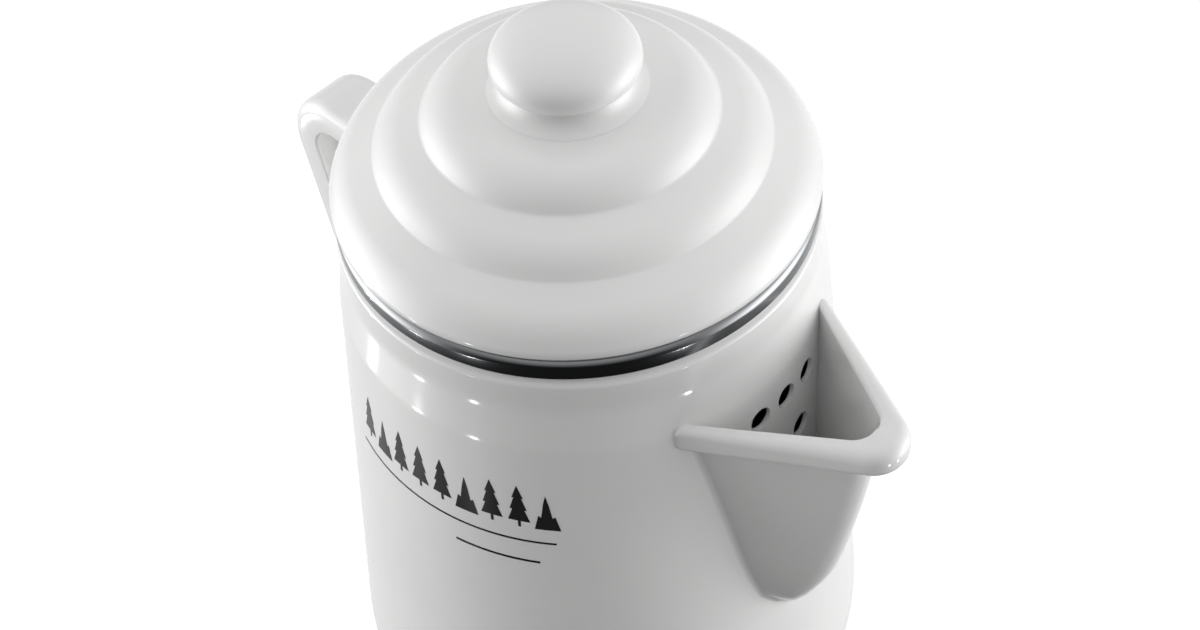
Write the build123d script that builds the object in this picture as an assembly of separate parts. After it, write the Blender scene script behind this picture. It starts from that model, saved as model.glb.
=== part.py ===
from build123d import *
from math import asin, atan2, cos, hypot, radians, sin, tan, tau
import os

# Enamelled camping percolator. Millimetres, +Z up, spout towards +X, handle towards -X.
# The origin is the centre of the flat underside that stands on the stove.

# --- clearances and details shared by several pieces ----------------------------------------
loose_gap = 0.3            # between faces of pieces that lift apart
seam_gap = 0.1             # between formed sheets that are joined for good
collar_gap = 0.5           # lid collar inside the rim band
crisp = 0.01               # corner radius of a fold that is left sharp

# --- pot body -------------------------------------------------------------------------------
pot_wall = 1.2
base_wall = 1.4
belly_radius = 74.8
base_corner = 13.0
seam_height = 15.0
seam_lap = 5.0
cone_foot_height = 18.8
rim_height = 183.2         # top of the steel band, where the lid rests
neck_radius = 60.3
neck_height = rim_height - 17.2
shoulder_radius = neck_radius + 2.3
shoulder_height = neck_height - 12.0
cone_round_run = 2.7       # along the wall, from the foot of the cone to the end of its rounding
cone_lean = atan2(belly_radius - shoulder_radius, shoulder_height - cone_foot_height)
cone_round = cone_round_run / tan(cone_lean / 2)
shoulder_round = 22.0

# --- steel rim band -------------------------------------------------------------------------
band_sheet = 0.6
band_height = 5.8
band_radius = neck_radius - 0.4
band_round = 2.2
band_inner_round = 0.8
band_inner_leg = 5.0
band_hem = 1.2             # how far the strip's lower edge turns in under the band

# --- the wall's step behind the band ----------------------------------------------------------
joggle_clearance = 0.6
joggle_rise = 1.2
joggle_round = 1.4
joggle_drop = 2.2          # from the band's lower edge down to the step

# --- strainer holes in the wall behind the spout ----------------------------------------------
strainer_hole = 6.5
strainer_row_pitch = 15.2
strainer_column_angle = 8.7
strainer_rows = 4

# --- spout ----------------------------------------------------------------------------------
spout_wall = 1.2
spout_root_height = shoulder_height + 2.7  # height of the rolled rim's top face at the body
spout_rise = 6.0           # degrees that the rim climbs towards the tip
spout_bead_height = 7.4
spout_tip_reach = neck_radius + 40.7
spout_tip_round = 9.0
spout_bead_round = 3.2
spout_root = neck_radius - 4.3  # the folded sheet starts inside the pot and is trimmed to its wall
# (height from the rim's root, half width at the root, reach beyond the neck, radius of the fold)
spout_sections = [
    (13.3, 27.3, 34.6, 7.2),
    (-15.7, 24.6, 31.9, 6.8),
    (-40.7, 22.4, 28.1, 6.8),
    (-62.7, 20.5, 23.6, 7.2),
    (-76.7, 17.8, 18.4, 8.0),
    (-87.7, 12.6, 12.6, 8.0),
    (-94.7, 7.0, 8.0, 6.0),
]
spout_bead_root = neck_radius - 8.3
spout_bead_half_width = 30.2
strainer_top = spout_root_height - 12.4

# --- handle ---------------------------------------------------------------------------------
handle_width = 18.4
handle_sheet = 1.4
handle_flange = 10.0
handle_edge_round = 3.5
handle_top_height = shoulder_height + 4.2
handle_reach = belly_radius + 36.0
handle_bend = 19.0
handle_low_reach = belly_radius + 18.2
handle_low_height = 50.0
handle_low_bend = 14.0
handle_foot_height = 42.0
handle_root_depth = 8.0    # the blank starts inside the pot and is trimmed to its wall

# --- lid ------------------------------------------------------------------------------------
lid_sheet = 1.0
lid_radius = neck_radius - 0.3
lid_edge_round = 2.0
lid_skirt_height = 3.2
lid_skirt_round = 3.0
lid_shoulder = (lid_radius - 2.8, rim_height + 9.0)
lid_step_one = (lid_radius - 12.0, rim_height + 14.0)
lid_tier_one = (lid_radius - 15.8, rim_height + 19.2)
lid_step_two = (lid_radius - 24.4, rim_height + 22.4)
lid_tier_two = (lid_radius - 28.4, rim_height + 29.0)
lid_crown_height = rim_height + 30.8
lid_step_round = 1.6
lid_tier_rounds = (13.0, 14.0, 12.0)
vent_hole = 4.0

# --- lid collar -----------------------------------------------------------------------------
collar_sheet = 0.8
collar_depth = 11.0
collar_corner = 1.2
collar_flange_radius = lid_radius - 2.1

# --- knob -----------------------------------------------------------------------------------
knob_sheet = 0.9
knob_radius = 17.9
knob_top_rise = 8.2
knob_flat_radius = 0.42 * knob_radius
knob_brow = (0.82 * knob_radius, 6.0)      # radius and rise above the waist
knob_side_rise = 3.2
knob_cap_rounds = (16.0, 9.0, 4.0)
knob_waist_height = lid_crown_height + 7.0
knob_underside_drop = 3.6
knob_underside_rise = 1.8
knob_belly_round = 3.0
knob_neck_radius = 15.4
knob_neck_round = 0.8
knob_flare_radius = 16.6
knob_flare_rise = 1.6
knob_flare_round = 4.4
knob_foot_radius = 19.2
knob_foot_rise = 0.4
knob_foot_slope = 0.06     # how the crown falls away under the foot

# --- percolator stem --------------------------------------------------------------------------
stem_radius = 4.8
stem_wall = 0.8
stem_top = rim_height + 9.8
foot_sheet = 0.8
foot_radius = 41.0
foot_rim_height = 3.0
foot_cone_height = 11.0
foot_sleeve_top = 24.0
foot_rim_round = 2.0
foot_neck_round = 3.0
foot_vent = 4.0
foot_vent_count = 6
foot_vent_radius = 30.0
collar_ring_radius = stem_radius + 3.2
collar_ring_height = 4.0
collar_ring_chamfer = 0.8

# --- coffee basket ----------------------------------------------------------------------------
basket_sheet = 0.7
basket_radius = neck_radius - 12.8
basket_floor = shoulder_height - 50.0
basket_height = 60.0
basket_bead_radius = 1.2
basket_corner = 4.0
basket_hole = 2.2
basket_hole_pitch = 7.0
basket_hole_rings = 5
sleeve_wall = 0.7
sleeve_height = 30.0
sleeve_flange_radius = stem_radius + 5.2
spreader_sheet = 0.7
spreader_lip = 4.0
spreader_hole = 2.4
spreader_hole_pitch = 8.4
spreader_hole_rings = 4
spreader_first_ring = 0.7  # share of the pitch between the stem's ring and the first holes
spreader_dome = 3.0
spreader_rim_flat = 3.0
spreader_neck = 5.0
spreader_rounds = [0.3, 3.0, 1.0]
drill_margin = 1.0         # how far a drill starts and ends clear of the sheet


def outline(points, rounds):
    """Open outline of straight runs joined by arcs; one radius for each inner corner."""
    return FilletPolyline(*points, radius=rounds)


def spun_sheet(points, rounds, sheet, side=Side.LEFT):
    """Sheet of even thickness turned about the Z axis; the points are (radius, height)."""
    section = make_face(offset(outline(points, rounds), amount=sheet, side=side))
    return revolve(Plane.XZ * section, Axis.Z)


def ring_of_holes(count, at_radius, hole, low, high, turn=0.0):
    """Upright drills evenly spaced on a circle."""
    drill = Pos(0, 0, low) * Cylinder(hole / 2, high - low, align=(Align.CENTER, Align.CENTER, Align.MIN))
    return [Rot(0, 0, turn + 360 * i / count) * Pos(at_radius, 0, 0) * drill for i in range(count)]


# --- pot --------------------------------------------------------------------------------------

rim_wall_radius = band_radius - band_sheet - seam_gap - joggle_clearance
rim_wall_top = rim_height - band_sheet - 5 * seam_gap
joggle_height = rim_height - band_height - joggle_drop


def pot_points():
    """Outer face of the pot's wall, from the base seam up to the rim."""
    return [
        (belly_radius, seam_height),
        (belly_radius, cone_foot_height),
        (shoulder_radius, shoulder_height),
        (neck_radius, neck_height),
        (neck_radius, joggle_height),
        (rim_wall_radius, joggle_height + joggle_rise),
        (rim_wall_radius, rim_wall_top),
    ]


pot_rounds = [cone_round, shoulder_round, shoulder_round, joggle_round, joggle_round]


def pot_envelope():
    """Everything inside the pot's outer face, used to trim what is welded to it."""
    wall = outline(pot_points(), pot_rounds)
    closing = Polyline((rim_wall_radius, rim_wall_top), (0, rim_wall_top), (0, 0), (belly_radius, 0),
                       (belly_radius, seam_height))
    return revolve(Plane.XZ * make_face(Curve() + [wall, closing]), Axis.Z)


def strainer_drills():
    """Level drills for the triangle of holes: one fewer in each lower row."""
    drills = []
    for row in range(strainer_rows):
        count = strainer_rows - row
        for i in range(count):
            turn = strainer_column_angle * (i - (count - 1) / 2)
            drill = Rot(0, 90, 0) * Cylinder(strainer_hole / 2, belly_radius,
                                             align=(Align.CENTER, Align.CENTER, Align.MIN))
            drills.append(Rot(0, 0, turn) * Pos(0, 0, strainer_top - row * strainer_row_pitch) * drill)
    return drills


def pot_shell():
    wall = spun_sheet(pot_points(), pot_rounds, pot_wall)
    return wall - strainer_drills()


def pot_base():
    """Pressed pan: flat bottom, rounded corner, and a joggled edge that laps inside the wall."""
    lap_radius = belly_radius - pot_wall - loose_gap
    floor = [(0, 0), (belly_radius, 0), (belly_radius, seam_height), (lap_radius, seam_height),
             (lap_radius, seam_height + seam_lap)]
    return spun_sheet(floor, [base_corner, crisp, crisp], base_wall)


def rim_band():
    """Rolled steel strip clipped over the pot's raw rim."""
    leg_radius = rim_wall_radius - pot_wall - seam_gap - band_sheet
    strip = [
        (leg_radius, rim_height - band_inner_leg),
        (leg_radius, rim_height),
        (band_radius, rim_height),
        (band_radius, rim_height - band_height),
        (band_radius - band_hem, rim_height - band_height),
    ]
    return spun_sheet(strip, [band_inner_round, band_round, band_inner_round], band_sheet)


# --- spout ------------------------------------------------------------------------------------

def fold_face(rise, half_width, proud, fold_round, inset=0.0, root=spout_root):
    """Level cut through the folded sheet: two straight sides joined by a rounded fold."""
    reach = neck_radius + proud
    centre = reach - fold_round
    distance = hypot(centre - root, half_width)
    heading = asin(fold_round / distance) - atan2(half_width, centre - root)
    half_width = half_width - inset / cos(heading)
    fold_round = fold_round - inset
    touch = (centre - fold_round * sin(heading), fold_round * cos(heading))
    tip = (reach - inset, 0.0)
    side_a = Line((root, half_width), touch)
    fold = ThreePointArc(touch, tip, (touch[0], -touch[1]))
    side_b = Line((touch[0], -touch[1]), (root, -half_width))
    closing = Line((root, -half_width), (root, half_width))
    return Pos(0, 0, spout_root_height + rise) * make_face(Curve() + [side_a, fold, side_b, closing])


def rim_plane():
    """Plane of the rolled rim's top face, climbing from the body to the tip."""
    slope = radians(spout_rise)
    return Plane(origin=(neck_radius, 0, spout_root_height), x_dir=(cos(slope), 0, sin(slope)),
                 z_dir=(-sin(slope), 0, cos(slope)))


def spout_bead():
    """Rolled rim before the trough is hollowed, wider at the pouring tip."""
    plan = fold_face(0, spout_bead_half_width, spout_tip_reach - neck_radius, spout_tip_round,
                     root=spout_bead_root)
    block = rim_plane() * Pos(-neck_radius, 0, -spout_root_height) * extrude(plan, -spout_bead_height)
    long_edge = 2 * spout_bead_height
    edges = [e for e in block.edges() if e.center().X > neck_radius and e.length > long_edge]
    return fillet(edges, spout_bead_round)


def spout():
    """Folded trough with a rolled rim, trimmed to the pot's wall."""
    outer = loft([fold_face(*s) for s in spout_sections])
    mouth = loft([fold_face(*s, spout_wall) for s in spout_sections])
    slab = 4 * neck_radius
    above = rim_plane() * Pos(0, 0, slab / 2 - spout_bead_round) * Box(slab, slab, slab)
    return (outer - above) + spout_bead() - mouth - pot_envelope()


# --- handle -----------------------------------------------------------------------------------

def handle_line():
    """Outer line of the strap in the plane of the handle: out, down, and back to the body."""
    points = [(handle_root_depth - neck_radius, handle_top_height), (-handle_reach, handle_top_height),
              (-handle_low_reach, handle_low_height), (handle_root_depth - belly_radius, handle_foot_height)]
    return outline(points, [handle_bend, handle_low_bend])


def handle():
    """Pressed strap with both edges turned towards the pot, welded at its two ends."""
    blank = extrude(Plane.XZ * make_face(offset(handle_line(), amount=handle_flange, side=Side.LEFT)),
                    handle_width / 2, both=True)
    blank = fillet(outer_edges(blank), handle_edge_round)
    inside = make_face(offset(handle_line(), amount=handle_flange + handle_sheet, side=Side.LEFT))
    web = make_face(offset(handle_line(), amount=handle_sheet, side=Side.LEFT))
    hollow = extrude(Plane.XZ * (inside - web), handle_width / 2 - handle_sheet, both=True)
    return blank - hollow - pot_envelope()


def outer_edges(blank):
    """Long edges of the strap's outer face, on both sides of its width."""
    line = Plane.XZ * handle_line()
    return [e for e in blank.edges()
            if abs(abs(e.center().Y) - handle_width / 2) < crisp
            and line.distance_to(Vertex(e.center().X, 0, e.center().Z)) < handle_flange / 2
            and e.length > handle_flange / 2]


# --- lid --------------------------------------------------------------------------------------

def lid_points():
    """Outer face of the stepped dome, from the crown to the edge curled under."""
    return [
        (vent_hole / 2, lid_crown_height),
        lid_tier_two,
        lid_step_two,
        lid_tier_one,
        lid_step_one,
        lid_shoulder,
        (lid_radius, rim_height + lid_skirt_height),
        (lid_radius, rim_height + loose_gap),
        (rim_wall_radius - joggle_round, rim_height + loose_gap),
    ]


lid_rounds = [lid_tier_rounds[2], lid_step_round, lid_tier_rounds[1], lid_step_round,
              lid_tier_rounds[0], lid_skirt_round, lid_edge_round]


def lid_shell():
    return spun_sheet(lid_points(), lid_rounds, lid_sheet, Side.RIGHT)


def lid_envelope():
    """Everything under the lid's outer face, used to trim the knob's foot."""
    face = outline(lid_points(), lid_rounds)
    points = lid_points()
    closing = Polyline(points[-1], (0, points[-1][1]), (0, lid_crown_height), points[0])
    return revolve(Plane.XZ * make_face(Curve() + [face, closing]), Axis.Z)


collar_radius = rim_wall_radius - pot_wall - seam_gap - band_sheet - collar_gap


def lid_collar():
    """Ring that centres the lid in the pot, its flange held in the lid's curled edge."""
    flange_top = rim_height + loose_gap + lid_sheet + collar_sheet
    ring = [(collar_flange_radius, flange_top), (collar_radius - collar_sheet, flange_top),
            (collar_radius - collar_sheet, rim_height - collar_depth)]
    return spun_sheet(ring, [collar_corner], collar_sheet, Side.LEFT)


def knob_cup():
    """Lower pressing of the hollow knob: foot on the crown, short neck, underside of the ball."""
    foot_height = lid_crown_height - knob_foot_radius * knob_foot_slope
    neck_height = knob_waist_height - knob_underside_drop
    face = outline([
        (knob_foot_radius, foot_height - knob_sheet),
        (knob_foot_radius, foot_height + knob_foot_rise),
        (knob_flare_radius, foot_height + knob_flare_rise),
        (knob_neck_radius, neck_height),
        (knob_radius, neck_height + knob_underside_rise),
        (knob_radius, knob_waist_height),
    ], [knob_foot_rise / 2, knob_flare_round, knob_neck_round, knob_belly_round])
    section = make_face(offset(face, amount=knob_sheet, side=Side.LEFT))
    return revolve(Plane.XZ * section, Axis.Z) - lid_envelope()


def knob_cap():
    """Upper pressing of the knob, a flattened dome seamed to the cup at the waist."""
    top = knob_waist_height + knob_top_rise
    dome = [(0, top), (knob_flat_radius, top), (knob_brow[0], knob_waist_height + knob_brow[1]),
            (knob_radius, knob_waist_height + knob_side_rise), (knob_radius, knob_waist_height)]
    return spun_sheet(dome, knob_cap_rounds, knob_sheet, Side.RIGHT)


# --- percolator insert --------------------------------------------------------------------------

floor_height = base_wall + loose_gap
sleeve_bore = stem_radius + loose_gap


def stem_tube():
    outer = Cylinder(stem_radius, stem_top - foot_cone_height, align=(Align.CENTER, Align.CENTER, Align.MIN))
    bore = Cylinder(stem_radius - stem_wall, stem_top, align=(Align.CENTER, Align.CENTER, Align.MIN))
    return Pos(0, 0, foot_cone_height) * outer - bore


def stem_foot():
    """Flared bell that traps steam on the pot's floor and feeds the stem."""
    neck = stem_radius + seam_gap / 2 + foot_sheet
    bell = spun_sheet([
        (foot_radius, floor_height),
        (foot_radius, floor_height + foot_rim_height),
        (neck, floor_height + foot_cone_height),
        (neck, foot_sleeve_top),
    ], [foot_rim_round, foot_neck_round], foot_sheet, Side.LEFT)
    vents = ring_of_holes(foot_vent_count, foot_vent_radius, foot_vent, 0, foot_sleeve_top)
    return bell - vents


def stem_collar():
    """Ring pressed on the stem, where the basket stands."""
    top = basket_floor - sleeve_wall - loose_gap
    height = collar_ring_height
    ring = Cylinder(collar_ring_radius, height) - Cylinder(stem_radius, height + 1)
    ring = chamfer(ring.edges().filter_by(GeomType.CIRCLE).group_by(SortBy.RADIUS)[-1], collar_ring_chamfer)
    return Pos(0, 0, top - height / 2) * ring


def basket_cup():
    """Straight cup with a rolled rim and a perforated floor."""
    top = basket_floor + basket_height
    cup = spun_sheet([
        (sleeve_bore + sleeve_wall + seam_gap, basket_floor),
        (basket_radius, basket_floor),
        (basket_radius, top),
    ], [basket_corner], basket_sheet)
    bead = Pos(0, 0, top) * Torus(basket_radius + basket_bead_radius - basket_sheet, basket_bead_radius)
    drills = []
    for ring in range(basket_hole_rings):
        radius = collar_ring_radius + basket_hole_pitch * (ring + 1)
        count = int(tau * radius / basket_hole_pitch)
        drills += ring_of_holes(count, radius, basket_hole, basket_floor - drill_margin,
                                basket_floor + basket_sheet + drill_margin)
    return cup + bead - drills


def basket_sleeve():
    """Flanged centre tube that lets the basket slide on the stem."""
    low = basket_floor - sleeve_wall
    return spun_sheet([
        (sleeve_flange_radius, low),
        (sleeve_bore, low),
        (sleeve_bore, basket_floor + sleeve_height),
    ], [crisp], sleeve_wall, Side.RIGHT)


def basket_spreader():
    """Perforated lid of the basket, domed, with a turned lip and a raised centre hole."""
    seat = basket_floor + basket_height + basket_bead_radius + loose_gap
    lip_radius = basket_radius + 2 * basket_bead_radius - basket_sheet + loose_gap
    disc = spun_sheet([
        (sleeve_bore, seat + spreader_dome + spreader_neck),
        (sleeve_bore, seat + spreader_dome),
        (basket_radius - spreader_rim_flat, seat),
        (lip_radius, seat),
        (lip_radius, seat - spreader_lip),
    ], spreader_rounds, spreader_sheet, Side.LEFT)
    drills = []
    for ring in range(spreader_hole_rings):
        radius = collar_ring_radius + spreader_hole_pitch * (ring + spreader_first_ring)
        count = int(tau * radius / spreader_hole_pitch)
        drills += ring_of_holes(count, radius, spreader_hole, seat - drill_margin,
                                seat + spreader_dome + spreader_sheet + drill_margin)
    return disc - drills


pieces = {
    "pot_shell": pot_shell,
    "pot_base": pot_base,
    "rim_band": rim_band,
    "spout": spout,
    "handle": handle,
    "lid_shell": lid_shell,
    "lid_collar": lid_collar,
    "knob_cup": knob_cup,
    "knob_cap": knob_cap,
    "stem_tube": stem_tube,
    "stem_foot": stem_foot,
    "stem_collar": stem_collar,
    "basket_cup": basket_cup,
    "basket_sleeve": basket_sleeve,
    "basket_spreader": basket_spreader,
}

os.makedirs("parts", exist_ok=True)
for name, build in pieces.items():
    export_step(build(), f"parts/{name}.step")
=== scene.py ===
"""Looks of an enamelled camping percolator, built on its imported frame.

Every sub-assembly is a class that holds its sizes in millimetres and makes its own pieces in metres.
"""
import logging
import math
from dataclasses import dataclass
from enum import Enum

import bmesh
import bpy
from mathutils import Matrix, Vector


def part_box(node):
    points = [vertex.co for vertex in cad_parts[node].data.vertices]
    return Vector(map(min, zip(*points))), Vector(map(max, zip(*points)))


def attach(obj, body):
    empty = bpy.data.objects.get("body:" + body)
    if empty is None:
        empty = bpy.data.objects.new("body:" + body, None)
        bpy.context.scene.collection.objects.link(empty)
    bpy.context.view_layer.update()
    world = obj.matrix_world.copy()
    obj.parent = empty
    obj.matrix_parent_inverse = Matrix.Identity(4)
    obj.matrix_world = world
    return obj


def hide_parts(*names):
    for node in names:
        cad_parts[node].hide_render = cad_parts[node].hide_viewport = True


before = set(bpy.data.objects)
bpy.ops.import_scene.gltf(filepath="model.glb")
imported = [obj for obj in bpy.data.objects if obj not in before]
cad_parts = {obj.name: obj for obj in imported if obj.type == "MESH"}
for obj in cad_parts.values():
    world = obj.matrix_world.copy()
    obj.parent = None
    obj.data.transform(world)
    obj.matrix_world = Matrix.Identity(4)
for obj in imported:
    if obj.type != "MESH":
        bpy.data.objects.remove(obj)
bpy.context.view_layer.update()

MM = 0.001
STEPS_AROUND = 192
STEPS_PER_ARC = 10
GLASS_INDEX = 1.52
log = logging.getLogger("percolator")


class Body(Enum):
    """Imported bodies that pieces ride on."""

    POT = "pot"
    LID = "lid"
    STEM = "stem"
    BASKET = "basket"
    SPREADER = "spreader"


class Slot(Enum):
    """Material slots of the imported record."""

    ENAMEL = "enamel"
    RIM_STEEL = "rim_steel"
    INSERT_STEEL = "insert_steel"


# --- colour and node helpers ------------------------------------------------------------------


def linear(code: str) -> tuple[float, float, float, float]:
    """Turn an sRGB hex colour into linear values.

    Args:
        code: Six hex digits after a hash.

    Returns:
        Red, green, blue and an alpha of 1.
    """
    channels = [int(code[i : i + 2], 16) / 255 for i in (1, 3, 5)]
    red, green, blue = (c / 12.92 if c <= 0.04045 else ((c + 0.055) / 1.055) ** 2.4 for c in channels)
    return red, green, blue, 1.0


def add_node(tree: bpy.types.NodeTree, kind: str, settings: dict, links: dict) -> bpy.types.Node:
    """Add one node with its settings and incoming links.

    Args:
        tree: Node tree that gets the node.
        kind: Blender's type name of the node.
        settings: Property names, or input sockets by name or number, with their values.
        links: Input sockets by name or number, with the output socket that feeds each.

    Returns:
        The new node.
    """
    node = tree.nodes.new(kind)
    for key, value in settings.items():
        if isinstance(key, str) and hasattr(node, key):
            setattr(node, key, value)
        else:
            node.inputs[key].default_value = value
    for key, output in links.items():
        tree.links.new(output, node.inputs[key])
    return node


def new_tree(name: str) -> tuple[bpy.types.Material, bpy.types.NodeTree]:
    """Start a node material with nothing in it.

    Args:
        name: Name of the material.

    Returns:
        The material and its empty node tree.
    """
    material = bpy.data.materials.new(name)
    material.use_nodes = True
    material.node_tree.nodes.clear()
    return material, material.node_tree


def close_tree(tree: bpy.types.NodeTree, shader: bpy.types.Node) -> None:
    """Send a shader to the material's surface.

    Args:
        tree: Node tree of the material.
        shader: Node whose first output is the finished surface.
    """
    add_node(tree, "ShaderNodeOutputMaterial", {}, {"Surface": shader.outputs[0]})


def object_place(tree: bpy.types.NodeTree) -> bpy.types.NodeSocket:
    """Place on the piece, in metres.

    Args:
        tree: Node tree of the material.

    Returns:
        The socket of the object coordinates.
    """
    return add_node(tree, "ShaderNodeTexCoord", {}, {}).outputs["Object"]


def noise(tree: bpy.types.NodeTree, place: bpy.types.NodeSocket, grain_mm: float,
          detail: float) -> bpy.types.NodeSocket:
    """Noise whose features have a real size.

    Args:
        tree: Node tree of the material.
        place: Coordinates in metres.
        grain_mm: Size of the largest features.
        detail: Octaves of finer features.

    Returns:
        The socket of the noise's strength.
    """
    settings = {"Scale": 1 / (grain_mm * MM), "Detail": detail}
    return add_node(tree, "ShaderNodeTexNoise", settings, {"Vector": place}).outputs[0]


def gloss_range(tree: bpy.types.NodeTree, pattern: bpy.types.NodeSocket,
                roughness: tuple[float, float]) -> bpy.types.NodeSocket:
    """Spread a pattern over a range of roughness.

    Args:
        tree: Node tree of the material.
        pattern: Strength from 0 to 1.
        roughness: Roughness at 0 and at 1.

    Returns:
        The socket of the roughness.
    """
    settings = {"To Min": roughness[0], "To Max": roughness[1]}
    return add_node(tree, "ShaderNodeMapRange", settings, {"Value": pattern}).outputs[0]


def relief(tree: bpy.types.NodeTree, pattern: bpy.types.NodeSocket, depth_mm: float) -> bpy.types.NodeSocket:
    """Raise a pattern by a real depth.

    Args:
        tree: Node tree of the material.
        pattern: Height from 0 to 1.
        depth_mm: Height that 1 stands for.

    Returns:
        The socket of the bent normal.
    """
    settings = {"Strength": 1.0, "Distance": depth_mm * MM}
    return add_node(tree, "ShaderNodeBump", settings, {"Height": pattern}).outputs[0]


def combine(tree: bpy.types.NodeTree, operation: str,
            *terms: float | bpy.types.NodeSocket) -> bpy.types.NodeSocket:
    """Work out one step of arithmetic on numbers and sockets.

    Args:
        tree: Node tree that gets the step.
        operation: Blender's name of the operation.
        terms: The numbers and sockets, in the operation's order.

    Returns:
        The socket of the result.
    """
    settings = {"operation": operation}
    links = {}
    for index, term in enumerate(terms):
        if isinstance(term, float):
            settings[index] = term
        else:
            links[index] = term
    return add_node(tree, "ShaderNodeMath", settings, links).outputs[0]


# --- finishes -----------------------------------------------------------------------------------


@dataclass(frozen=True)
class VitreousEnamel:
    """White glass enamel fired on steel: a hard, deep gloss over a faintly rippled, even white."""

    colour: str = "#ECECEB"
    shade: str = "#E4E4E4"
    roughness: tuple[float, float] = (0.08, 0.14)
    ripple_mm: float = 9.0
    ripple_depth_mm: float = 0.035
    cloud_mm: float = 34.0

    def build(self) -> bpy.types.Material:
        """Make the material.

        Returns:
            The enamel, patterned on object coordinates.
        """
        material, tree = new_tree("white_vitreous_enamel")
        place = object_place(tree)
        cloud = noise(tree, place, self.cloud_mm, 3.0)
        tint = add_node(tree, "ShaderNodeMix", {"data_type": "RGBA", 6: linear(self.shade),
                        7: linear(self.colour)}, {0: cloud})
        ripple = noise(tree, place, self.ripple_mm, 1.0)
        gloss = gloss_range(tree, cloud, self.roughness)
        shader = add_node(tree, "ShaderNodeBsdfPrincipled", {"IOR": GLASS_INDEX},
                          {"Base Color": tint.outputs[2], "Roughness": gloss,
                           "Normal": relief(tree, ripple, self.ripple_depth_mm)})
        close_tree(tree, shader)
        return material


@dataclass(frozen=True)
class TurnedSteel:
    """Stainless steel worked on a lathe: fine lines run round the axis and draw out each highlight."""

    name: str
    colour: str
    roughness: tuple[float, float]
    line_mm: float
    line_depth_mm: float

    def build(self) -> bpy.types.Material:
        """Make the material.

        Returns:
            The steel, whose lines depend only on the distance from the axis and the height.
        """
        material, tree = new_tree(self.name)
        parts = add_node(tree, "ShaderNodeSeparateXYZ", {}, {0: object_place(tree)})
        flat = add_node(tree, "ShaderNodeCombineXYZ", {}, {0: parts.outputs[0], 1: parts.outputs[1]})
        reach = add_node(tree, "ShaderNodeVectorMath", {"operation": "LENGTH"}, {0: flat.outputs[0]})
        lathe = add_node(tree, "ShaderNodeCombineXYZ", {}, {0: reach.outputs["Value"], 1: parts.outputs[2]})
        lines = noise(tree, lathe.outputs[0], self.line_mm, 2.0)
        shader = add_node(tree, "ShaderNodeBsdfPrincipled",
                          {"Base Color": linear(self.colour), "Metallic": 1.0},
                          {"Roughness": gloss_range(tree, lines, self.roughness),
                           "Normal": relief(tree, lines, self.line_depth_mm)})
        close_tree(tree, shader)
        return material


@dataclass(frozen=True)
class FiredPrint:
    """Black ceramic transfer fired into the enamel: near black, glossy, a little uneven in density."""

    colour: str = "#1B1B1D"
    thin_colour: str = "#2E2E30"
    grain_mm: float = 0.6
    roughness: float = 0.2

    def build(self) -> bpy.types.Material:
        """Make the material.

        Returns:
            The dark print.
        """
        material, tree = new_tree("black_fired_transfer")
        grain = noise(tree, object_place(tree), self.grain_mm, 2.0)
        tint = add_node(tree, "ShaderNodeMix", {"data_type": "RGBA", 6: linear(self.colour),
                        7: linear(self.thin_colour)}, {0: grain})
        shader = add_node(tree, "ShaderNodeBsdfPrincipled", {"Roughness": self.roughness, "IOR": GLASS_INDEX},
                          {"Base Color": tint.outputs[2]})
        close_tree(tree, shader)
        return material


@dataclass
class Finishes:
    """The materials of the whole percolator."""

    enamel: bpy.types.Material
    band: bpy.types.Material
    insert: bpy.types.Material
    print: bpy.types.Material


def make_finishes() -> Finishes:
    """Build every finish once.

    Returns:
        White enamel, dark polished steel for the band, satin steel for the insert, and the print.
    """
    return Finishes(
        enamel=VitreousEnamel().build(),
        band=TurnedSteel("polished_steel_strip", "#8E9092", (0.14, 0.24), 0.5, 0.004).build(),
        insert=TurnedSteel("satin_spun_steel", "#C9CACB", (0.26, 0.40), 0.45, 0.008).build(),
        print=FiredPrint().build(),
    )


# --- outlines and meshes ----------------------------------------------------------------------


def arc_corner(before: Vector, corner: Vector, after: Vector, radius: float, steps: int) -> list[Vector]:
    """Round one corner of an outline.

    Args:
        before: Neighbour on one side.
        corner: The corner to round.
        after: Neighbour on the other side.
        radius: Radius of the arc.
        steps: Parts that the arc is divided into.

    Returns:
        Points along the arc that touches both runs.
    """
    back, ahead = (before - corner).normalized(), (after - corner).normalized()
    half = back.angle(ahead) / 2
    centre = corner + (back + ahead).normalized() * (radius / math.sin(half))
    start, end = corner + back * (radius / math.tan(half)), corner + ahead * (radius / math.tan(half))
    turn = math.pi - 2 * half
    first, last = start - centre, end - centre
    points = []
    for i in range(steps + 1):
        share = i / steps
        blend = first * math.sin((1 - share) * turn) + last * math.sin(share * turn)
        points.append(centre + blend / math.sin(turn))
    return points


def rounded(points: list, rounds: list[float], steps: int = STEPS_PER_ARC,
            longest: float = 5.0) -> list[Vector]:
    """Open outline with its inner corners rounded and its long runs divided.

    Args:
        points: Corners as pairs of numbers.
        rounds: One radius for each inner corner.
        steps: Parts in each arc.
        longest: Longest step along a straight run.

    Returns:
        The outline's points in order.
    """
    corners = [Vector(p) for p in points]
    line = [corners[0]]
    for i, radius in enumerate(rounds):
        line += arc_corner(corners[i], corners[i + 1], corners[i + 2], radius, steps)
    line.append(corners[-1])
    divided = [line[0]]
    for a, b in zip(line, line[1:]):
        parts = max(1, math.ceil((b - a).length / longest))
        divided += [a.lerp(b, k / parts) for k in range(1, parts + 1)]
    return divided


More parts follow.
